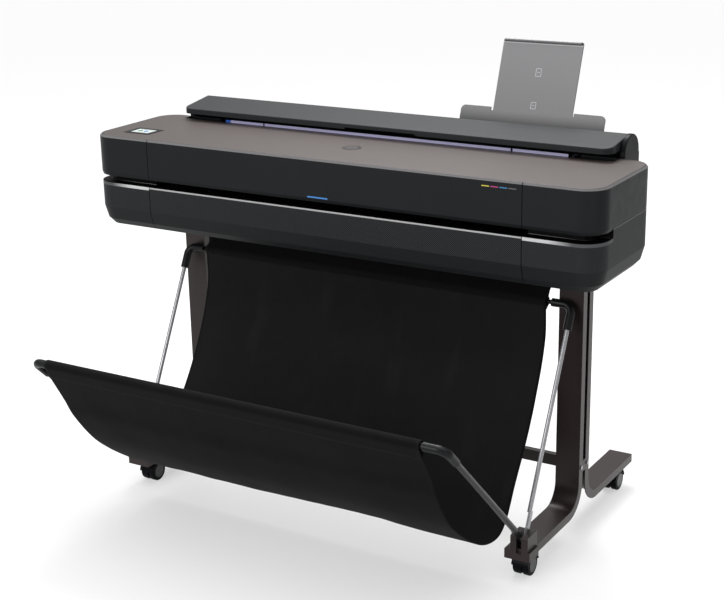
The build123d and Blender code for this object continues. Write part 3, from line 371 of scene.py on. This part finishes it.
def fabric_material(name, color, hem_run=-1.0, flap_run=99.0, half=9.0, turn_run=-9.0):
    """Tightly woven black cloth: twill, lint, painted highlight along the creases, darker hems with a row of
    stitches.

    hem_run is where the hem ends along the cloth, turn_run where the painted shade on the front panel ends,
    flap_run where the smoother flap starts, darker partly for its own cloth and partly as painted shadow
    under the body, and half is half of the cloth's width.
    """
    n = Nodes(name)
    uv = n.make("ShaderNodeUVMap", uv_map="cloth").outputs[0]
    parts = n.make("ShaderNodeSeparateXYZ")
    n.plug(uv, parts.inputs[0])
    across, along = parts.outputs[0], parts.outputs[1]
    thread = 2 * math.pi / 0.0016
    warp = n.maths("SINE", n.maths("MULTIPLY", n.maths("ADD", across, along), thread))
    weft = n.maths("SINE", n.maths("MULTIPLY", along, thread * 1.4))
    weave = n.maths("ADD", n.maths("MULTIPLY", warp, 0.65), n.maths("MULTIPLY", weft, 0.35))
    lint = n.noise(1300, 3.0, 0.7)
    stretch = n.make("ShaderNodeVectorMath", operation="MULTIPLY")
    n.plug(uv, stretch.inputs[0])
    stretch.inputs[1].default_value = (9.0, 2.2, 1.0)
    crease = n.noise(1.6, 5.0, 0.62, stretch.outputs[0])
    cloud = n.noise(5.0, 3.0, 0.6, uv)
    base = n.mix(n.remap(lint, 0.35, 0.7), shade(color, 0.62), shade(color, 1.45))
    base = n.mix(n.remap(weave, -1, 1, 0.0, 0.5), base, shade(color, 0.6))
    # painted highlight along the creases' ridges
    base = n.mix(n.remap(crease, 0.56, 0.78, 0.0, 0.4), base, shade(color, 2.4))
    base = n.mix(n.remap(cloud, 0.4, 0.7, 0.0, 0.25), base, shade(color, 1.5))
    # darker flap: partly its smoother cloth, partly painted shadow under the body
    base = n.mix(n.remap(along, flap_run, flap_run + 0.004), base, shade(color, 0.4))
    # painted shade: the hem and front panel, up to the cloth's lowest point, are darkened to about a quarter
    base = n.mix(n.remap(along, turn_run - 0.05, turn_run + 0.12), n.shade_of(base, 0.26), base)
    edge = n.remap(n.maths("ABSOLUTE", across), half - 0.0062, half - 0.0055)
    base = n.mix(edge, base, shade(color, 0.45))
    dash = n.maths("SINE", n.maths("MULTIPLY", across, 2 * math.pi / 0.0055))
    row = n.maths("MULTIPLY", n.between(along, hem_run - 0.0006, hem_run + 0.0006), n.remap(dash, -0.3, 0.1))
    seam = n.between(along, hem_run + 0.0012, hem_run + 0.0034)
    base = n.mix(seam, base, shade(color, 0.35))
    base = n.mix(row, base, shade(color, 2.6))
    normal = n.bump(crease, 0.3, 0.004)
    normal = n.bump(weave, 0.5, 0.0003, normal)
    normal = n.bump(n.maths("SUBTRACT", 1.0, seam), 0.6, 0.0008, normal)
    return n.finish(base, n.remap(lint, 0.3, 0.7, 0.78, 0.95), normal, Sheen_Weight=0.012,
                    Sheen_Roughness=0.45, Specular_IOR_Level=0.08)


def screen_material():
    """Pale glowing screen under glass."""
    n = Nodes("screen")
    glass = linear(186, 192, 190)
    y = n.axes()[1]
    fade = n.remap(y, low("display_screen").y, high("display_screen").y)
    base = n.mix(fade, shade(glass, 0.86), glass)
    n.plug(base, n.shader.inputs["Emission Color"])
    return n.finish(base, 0.12, n.bump(n.noise(60), 0.02, 0.0001), Emission_Strength=0.25, Coat_Weight=0.6)


def board_material():
    """Green circuit board with fine tracks."""
    n = Nodes("board")
    lacquer = linear(24, 74, 44)
    tracks = n.make("ShaderNodeTexBrick")
    n.plug(n.coords, tracks.inputs["Vector"])
    tracks.inputs["Scale"].default_value = 160
    tracks.inputs["Color1"].default_value = lacquer
    tracks.inputs["Color2"].default_value = shade(lacquer, 1.3)
    tracks.inputs["Mortar"].default_value = linear(140, 120, 60)
    tracks.inputs["Mortar Size"].default_value = 0.01
    return n.finish(tracks.outputs["Color"], 0.35, n.bump(n.noise(700), 0.1, 0.0002))


def ink_mark(name, color, rough=0.4):
    """Small pad-printed mark."""
    n = Nodes(name)
    ink = n.noise(2500, 2.0)
    base = n.mix(n.remap(ink, 0.3, 0.7), shade(color, 0.9), shade(color, 1.08))
    return n.finish(base, rough, n.bump(ink, 0.1, 0.00005))


def rear_frame_material():
    """Thin bright steel arms; the bar between them is black where the cloth's sleeve ends."""
    n = Nodes("rear_frame")
    color = linear(150, 150, 153)
    marks = n.noise(500, 3.0, 0.6)
    base = n.mix(n.remap(marks, 0.3, 0.7), shade(color, 0.85), shade(color, 1.12))
    base = n.mix(n.remap(n.maths("ABSOLUTE", n.axes()[0]), 0.5, 0.504), linear(8, 8, 9), base)
    return n.finish(base, n.remap(marks, 0.3, 0.7, 0.26, 0.38), n.bump(marks, 0.15, 0.0002), 0.9)


FINISH = {
    "top_skin": top_skin_material(),
    "dark_shell": door_material(),
    "textured_shell": textured_shell_material(),
    "lid_shell": lid_material(),
    "ear_plastic": plastic("ear_plastic", linear(19, 20, 22), 0.3, grain=0.08, gloss=0.03),
    "guide_plastic": guide_material(),
    "feeder_plastic": feeder_material(),
    "inner_plastic": plastic("inner_plastic", linear(9, 9, 10), 0.55, gloss=0.15),
    "ink_plastic": plastic("ink_plastic", linear(30, 30, 34), 0.3, grain=0.1),
    "screen": screen_material(),
    "stand_paint": stand_paint_material(),
    "basket_tube": metal("basket_tube", linear(29, 29, 31), 0.3, (0.05, 1, 1), metallic=0.6),
    "basket_fabric": fabric_material("basket_fabric", linear(21, 21, 22)),
    "elbow_plastic": plastic("elbow_plastic", linear(13, 14, 15), 0.34, grain=0.2, gloss=0.15),
    "caster_plastic": plastic("caster_plastic", linear(11, 12, 14), 0.32, grain=0.15, gloss=0.03),
    "caster_tread": plastic("caster_tread", linear(10, 11, 13), 0.42, grain=0.3, gloss=0.03),
    "plain_steel": metal("plain_steel", linear(150, 150, 153), 0.3),
    "plain_aluminium": metal("plain_aluminium", linear(190, 190, 192), 0.36, (0.03, 1, 1)),
    "belt_rubber": plastic("belt_rubber", linear(14, 14, 14), 0.7, grain=0.4),
    "board": board_material(),
}
BY_NODE = {"basket_rear_frame": rear_frame_material()}
for part in frame["record"]["subparts"]:
    mesh = nodes[part["node"]].data
    mesh.materials.clear()
    mesh.materials.append(BY_NODE.get(part["node"], FINISH[part["material_slot"]]))


# ---------- mesh helpers ----------
def piece_from(name, points, faces, material, smooth=True):
    mesh = bpy.data.meshes.new(name)
    mesh.from_pydata([tuple(p) for p in points], [], faces)
    mesh.validate()
    mesh.materials.append(material)
    for polygon in mesh.polygons:
        polygon.use_smooth = smooth
    piece = bpy.data.objects.new(name, mesh)
    bpy.context.scene.collection.objects.link(piece)
    return piece


def grid_faces(rows, columns):
    """Quads between rows of points."""
    faces = []
    for i in range(rows - 1):
        for j in range(columns - 1):
            first = i * columns + j
            faces.append((first, first + 1, first + columns + 1, first + columns))
    return faces


def thicken(piece, uvs):
    """Write a cloth piece's place along and across the weave, and give it the cloth's thickness."""
    layer = piece.data.uv_layers.new(name="cloth")
    for loop in piece.data.loops:
        layer.data[loop.index].uv = uvs[loop.vertex_index]
    solid = piece.modifiers.new("thickness", "SOLIDIFY")
    solid.thickness = 0.0013
    solid.offset = 0.0


# ---------- basket cloth ----------
CLOTH_HALF = (high("basket_fabric_front").x - low("basket_fabric_front").x) / 2
FRONT_BAR = Vector((FRONT - 0.384, 0.428))        # centres of the two bars, as (y, z)
REAR_BAR = Vector((FRONT + 0.188, 0.558))
LOOP_R = 0.0112
STEP = 0.006


def depth(d, z):
    """A point on the basket's side curve, d metres behind the body's front face."""
    return Vector((FRONT + d, z))


def smooth_curve(points, step):
    """Points about step apart along a Catmull-Rom curve through (y, z) points."""
    pts = [Vector(p) for p in points]
    ends = [pts[0] * 2 - pts[1], *pts, pts[-1] * 2 - pts[-2]]
    fine = []
    for i in range(1, len(ends) - 2):
        a, b, c, d = ends[i - 1:i + 3]
        for k in range(24):
            t = k / 24
            fine.append(0.5 * (2 * b + (c - a) * t + (2 * a - 5 * b + 4 * c - d) * t * t
                               + (3 * b - a - 3 * c + d) * t ** 3))
    fine.append(pts[-1])
    lengths = np.concatenate([[0], np.cumsum([(q - p).length for p, q in zip(fine, fine[1:])])])
    count = max(2, round(lengths[-1] / step))
    at = np.linspace(0, lengths[-1], count + 1)
    return [Vector((np.interp(s, lengths, [p.x for p in fine]), np.interp(s, lengths, [p.y for p in fine])))
            for s in at]


def arc(centre, radius, first, last, count):
    """Points on a circle from one angle to another, in degrees; 0 is towards the back and 90 is up."""
    turns = [math.radians(first + (last - first) * k / count) for k in range(count + 1)]
    return [centre + Vector((math.cos(t), math.sin(t))) * radius for t in turns]


def run_of(points):
    """Length along the points at each of them."""
    return [0.0, *np.cumsum([(q - p).length for p, q in zip(points, points[1:])])]


# hem behind the front bar, over the bar, down the front, under, and up to the rear bar and the body
fall = Vector((0.496, -0.868))                    # direction of the cloth's front panel, seen from the side
inwards = Vector((0.868, 0.496))
inner_top = FRONT_BAR + inwards * LOOP_R
outer_top = FRONT_BAR - inwards * LOOP_R
hem_end = outer_top + fall * 0.030 + Vector((0.0016, 0.0010))
side = smooth_curve([hem_end, inner_top + fall * 0.008], 0.005)
side += arc(FRONT_BAR, LOOP_R, 30, 206, 14)
hem_rows = len(side)
drop = [outer_top + fall * 0.006, depth(-0.347, 0.338), depth(-0.319, 0.281), depth(-0.262, 0.203),
        depth(-0.173, 0.132), depth(-0.110, 0.099), depth(-0.052, 0.092), depth(-0.013, 0.117),
        depth(0.028, 0.180), depth(0.072, 0.240), depth(0.110, 0.300), depth(0.141, 0.360),
        depth(0.166, 0.420), depth(0.182, 0.480), depth(0.1815, 0.546)]
side += smooth_curve(drop, STEP)
seam_rows = len(side)
side += arc(REAR_BAR, LOOP_R, 196, 124, 6)
side += smooth_curve([depth(0.190, 0.5715), depth(0.212, 0.594), depth(0.236, 0.644)], STEP)
runs = run_of(side)
HEM_RUN = runs[hem_rows] + 0.022
FLAP_RUN = runs[seam_rows - 1] + 0.002
TURN_RUN = runs[min(range(hem_rows, seam_rows), key=lambda row: side[row].y)]

COLUMNS = 170


def side_edges(row):
    """Left and right edges of the cloth at a row: the front sleeve reaches further left over the elbow."""
    share = min(1.0, max(0.0, (runs[row] - runs[hem_rows]) / 0.40))
    share = share * share * (3 - 2 * share)
    left = -0.4935 * (1 - share) - 0.468 * share
    right = 0.4625 * (1 - share) + 0.468 * share
    later = min(1.0, max(0.0, (runs[row] - runs[hem_rows] - 0.55) / 0.3))
    return left + 0.003 * later, right - 0.003 * later


def ripple(x, row):
    """How far the cloth stands off its plain curve: soft sags and creases, fading out towards both ends."""
    if row < hem_rows or row >= seam_rows:
        return 0.0
    along = runs[row]
    ends = min(1.0, (along - runs[hem_rows]) / 0.10, (runs[seam_rows - 1] - along) / 0.10)
    broad = noise.noise((x * 3.1, along * 2.3, 4.0)) * 0.0050
    middle = noise.noise((x * 9.0, along * 3.4, 9.0)) * 0.0016
    fine = noise.noise((x * 24.0, along * 17.0, 2.0)) * 0.0005
    return (broad + middle + fine) * max(0.0, ends)


cloth_points, cloth_uv = [], []
for i, p in enumerate(side):
    before, after = side[max(0, i - 1)], side[min(len(side) - 1, i + 1)]
    out = Vector((-(after - before).y, (after - before).x)).normalized()
    left, right = side_edges(i)
    for j in range(COLUMNS + 1):
        t = j / COLUMNS
        x = left + (right - left) * t
        spot = p + out * ripple(x, i)
        cloth_points.append((x, spot.x, spot.y))
        cloth_uv.append(((t * 2 - 1) * CLOTH_HALF, runs[i]))
CLOTH = fabric_material("basket_cloth", linear(23, 23, 23), HEM_RUN, FLAP_RUN, CLOTH_HALF, TURN_RUN)
cloth = piece_from("basket_cloth", cloth_points, grid_faces(len(side), COLUMNS + 1), CLOTH)
thicken(cloth, cloth_uv)

# back half of the rear sleeve, which closes it behind the bar
strip = [depth(0.1825, 0.541), *arc(REAR_BAR, LOOP_R, -50, 60, 8), depth(0.199, 0.578)]
strip_runs = run_of(strip)
strip_points = [(-0.465 + 0.93 * j / 40, p.x, p.y) for p in strip for j in range(41)]
strip_uv = [(point[0], strip_runs[k // 41]) for k, point in enumerate(strip_points)]
sleeve = piece_from("rear_sleeve_back", strip_points, grid_faces(len(strip), 41), FINISH["basket_fabric"])
thicken(sleeve, strip_uv)
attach(sleeve, "root")

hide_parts("basket_fabric_front", "basket_fabric_rear")
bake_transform(cloth)


# ---------- small marks and fittings ----------
def plate(name, corners, thickness, material, body):
    """A thin raised plate over a ring of corners, thickened along the ring's normal, with softened edges."""
    ring = [Vector(c) for c in corners]
    normal = (ring[1] - ring[0]).cross(ring[2] - ring[1]).normalized() * thickness
    count = len(ring)
    points = [tuple(p) for p in ring] + [tuple(p + normal) for p in ring]
    faces = [tuple(range(count))[::-1], tuple(range(count, 2 * count))]
    faces += [(k, (k + 1) % count, (k + 1) % count + count, k + count) for k in range(count)]
    piece = piece_from(name, points, faces, material, smooth=False)
    round_over = piece.modifiers.new("edges", "BEVEL")
    round_over.width = thickness * 0.3
    round_over.segments = 2
    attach(piece, body)


def circle(x, y, radius, count):
    """Points round a circle, anticlockwise."""
    turns = [2 * math.pi * k / count for k in range(count)]
    return [(x + math.cos(turn) * radius, y + math.sin(turn) * radius) for turn in turns]


def rounded_ring(width, height, radius):
    """Corners of a rounded rectangle about the origin, anticlockwise."""
    steps = 5
    ring = []
    for k, (sx, sy) in enumerate(((1, 1), (-1, 1), (-1, -1), (1, -1))):
        middle = Vector((sx * (width / 2 - radius), sy * (height / 2 - radius)))
        for j in range(steps + 1):
            turn = math.radians(90 * k + 90 * j / steps)
            ring.append(middle + Vector((math.cos(turn), math.sin(turn))) * radius)
    return ring


def on_front(x0, x1, z0, z1):
    """Corners of a rounded bar on the body's front face, between two x and two heights."""
    ring = rounded_ring(x1 - x0, z1 - z0, min(x1 - x0, z1 - z0) * 0.35)
    return [((x0 + x1) / 2 + p.x, FRONT, (z0 + z1) / 2 + p.y) for p in ring]


INKS = {"yellow": (170, 158, 40), "magenta": (150, 24, 92), "cyan": (20, 96, 140), "grey": (66, 68, 72)}
MARK_RISE = 0.0003
for k, (ink, color) in enumerate(INKS.items()):
    x = 0.395 + 0.0206 * k
    plate("ink_mark_" + ink, on_front(x, x + 0.0178, 0.8517, 0.8540), MARK_RISE,
          ink_mark("ink_" + ink, linear(*color)), "front_door")
plate("lift_mark", on_front(-0.037, 0.016, 0.7800, 0.7832), MARK_RISE,
      ink_mark("lift_blue", linear(40, 110, 176)), "front_door")

BADGE = (-0.005, FRONT + 0.141)
BADGE_RINGS = {"badge_ring": (0.022, 0.0006, (34, 32, 34)), "badge_disc": (0.0165, 0.0009, (60, 56, 58))}
for name, (radius, rise, color) in BADGE_RINGS.items():
    ring = [(x, y, TOP - 0.0002) for x, y in circle(*BADGE, radius, 64)]
    plate(name, ring, rise, plastic(name, linear(*color), 0.3, grain=0.1), "root")

GLASS_LOW, GLASS_HIGH = low("display_screen"), high("display_screen")


def on_glass(x, y, width, height):
    """Corners of a rounded mark on the touch panel; x and y are shares of the glass."""
    middle = (GLASS_LOW.x + (GLASS_HIGH.x - GLASS_LOW.x) * x, GLASS_LOW.y + (GLASS_HIGH.y - GLASS_LOW.y) * y)
    ring = rounded_ring(width, height, min(width, height) * 0.49)
    return [(middle[0] + p.x, middle[1] + p.y, GLASS_HIGH.z) for p in ring]


PANEL_MARKS = {
    "panel_green": (0.30, 0.50, 0.013, 0.013, (20, 104, 60)),
    "panel_blue": (0.64, 0.50, 0.013, 0.013, (24, 96, 150)),
    "panel_line_1": (0.30, 0.20, 0.012, 0.0022, (150, 155, 158)),
    "panel_line_2": (0.64, 0.20, 0.012, 0.0022, (150, 155, 158)),
    "panel_head": (0.5, 0.88, 0.040, 0.0026, (120, 126, 132)),
}
for name, (x, y, width, height, color) in PANEL_MARKS.items():
    plate(name, on_glass(x, y, width, height), 0.0002, ink_mark(name, linear(*color), 0.2), "root")

# page-size marks on the sheet feeder: plain outlines of a sheet
LEAN = math.radians(20)
UP = Vector((0, math.sin(LEAN), math.cos(LEAN)))
FEEDER_FOOT = Vector((0.302, FRONT + 0.430, 0.880))
PALE = ink_mark("page_mark", linear(176, 176, 178))
PAGE_RISE = 0.00012                               # less than the gap to the wing plate


def page_mark(name, climb, width, height):
    """A sheet's outline, climb metres up the feeder, as four thin bars."""
    line = 0.0012
    bars = ((0, height / 2, width, line), (0, -height / 2, width, line), (-width / 2, 0, line, height),
            (width / 2, 0, line, height), (0, 0, width * 0.5, line))
    for k, (bx, by, bar_width, bar_height) in enumerate(bars):
        ring = rounded_ring(bar_width, bar_height, line * 0.4)
        corners = [FEEDER_FOOT + UP * (climb + by + p.y) + Vector((bx + p.x, 0, 0)) for p in ring]
        plate(f"{name}_{k}", corners, PAGE_RISE, PALE, "feeder_extension")


page_mark("page_large", 0.139, 0.013, 0.018)
page_mark("page_small", 0.061, 0.012, 0.015)

# round hub covers on the outer faces of the casters
HUB = plastic("hub_cover", linear(16, 18, 20), 0.28, grain=0.1, gloss=0.4)
HUB_R = 0.0165
for place in ("front_left", "front_right", "rear_left", "rear_right"):
    wheel_low, wheel_high = low("caster_wheels_" + place), high("caster_wheels_" + place)
    centre = (wheel_low + wheel_high) / 2
    for side_name, x, turn in (("outer", wheel_high.x, 1), ("inner", wheel_low.x, -1)):
        ring = [(x - turn * 0.0002, centre.y + turn * across, centre.z + upward)
                for across, upward in circle(0, 0, HUB_R, 40)]
        plate(f"hub_{place}_{side_name}", ring, 0.0008, HUB, "wheels_" + place)

# ---------- floor, lights and camera ----------
floor_mesh = bpy.data.meshes.new("floor")
floor_mesh.from_pydata([(-30, -30, 0), (30, -30, 0), (30, 30, 0), (-30, 30, 0)], [], [(0, 1, 2, 3)])
floor = bpy.data.objects.new("floor", floor_mesh)
bpy.context.scene.collection.objects.link(floor)
n = Nodes("floor")
paint = n.finish((0.30, 0.30, 0.30, 1.0), 0.95, Specular_IOR_Level=0.0, Emission_Strength=0.5,
                 Emission_Color=(1.0, 1.0, 1.0, 1.0))
floor_mesh.materials.append(paint)

# soft studio light: a dome that is brightest overhead, panels in front and above, a thin one at the right
world = bpy.data.worlds.new("studio")
bpy.context.scene.world = world
world.use_nodes = True
tree = world.node_tree
direction = tree.nodes.new("ShaderNodeSeparateXYZ")
tree.links.new(tree.nodes.new("ShaderNodeTexCoord").outputs["Generated"], direction.inputs[0])
height = tree.nodes.new("ShaderNodeMath")
height.operation = "MAXIMUM"
tree.links.new(direction.outputs[2], height.inputs[0])
height.inputs[1].default_value = 0.0
steep = tree.nodes.new("ShaderNodeMath")
steep.operation = "POWER"
tree.links.new(height.outputs[0], steep.inputs[0])
steep.inputs[1].default_value = 3.0
level = tree.nodes.new("ShaderNodeMapRange")
tree.links.new(steep.outputs[0], level.inputs["Value"])
level.inputs["To Min"].default_value = 0.36
level.inputs["To Max"].default_value = 3.4
tree.links.new(level.outputs["Result"], tree.nodes["Background"].inputs[1])
tree.nodes["Background"].inputs[0].default_value = (1, 1, 1, 1)


def area_light(name, place, target, width, power, length):
    data = bpy.data.lights.new(name, "AREA")
    data.shape = "RECTANGLE"
    data.size = width
    data.size_y = length
    data.energy = power
    light = bpy.data.objects.new(name, data)
    light.location = place
    light.rotation_mode = "QUATERNION"
    light.rotation_quaternion = (Vector(target) - Vector(place)).to_track_quat("-Z", "Y")
    bpy.context.scene.collection.objects.link(light)


area_light("front_fill", (-1.2, -4.2, 1.7), (0, 0, 0.5), 2.4, 105, 1.6)
area_light("overhead", (-0.7, 1.7, 3.6), (0.1, 0.0, 0.3), 1.8, 170, 1.8)
area_light("edge", (2.7, -1.6, 0.9), (0.6, -0.05, 0.75), 0.22, 5, 1.4)
bpy.context.scene.view_settings.view_transform = "Standard"

camera_data = bpy.data.cameras.new("camera")
camera_data.sensor_width = 36
camera_data.lens = 74.07
camera = bpy.data.objects.new("camera", camera_data)
bpy.context.scene.collection.objects.link(camera)
CAMERA_PLACE = (1.7472, FRONT - 2.6935, 1.5664)
AZIMUTH, ELEVATION, ROLL = math.radians(31.441), math.radians(17.678), math.radians(-1.127)
behind = Vector((math.sin(AZIMUTH) * math.cos(ELEVATION), -math.cos(AZIMUTH) * math.cos(ELEVATION),
                 math.sin(ELEVATION)))
right = Vector((math.cos(AZIMUTH), math.sin(AZIMUTH), 0))
up = behind.cross(right)
right, up = (right * math.cos(ROLL) + up * math.sin(ROLL), up * math.cos(ROLL) - right * math.sin(ROLL))
turned = Matrix((right, up, behind)).transposed()
camera.matrix_world = Matrix.Translation(CAMERA_PLACE) @ turned.to_4x4()
bpy.context.scene.camera = camera
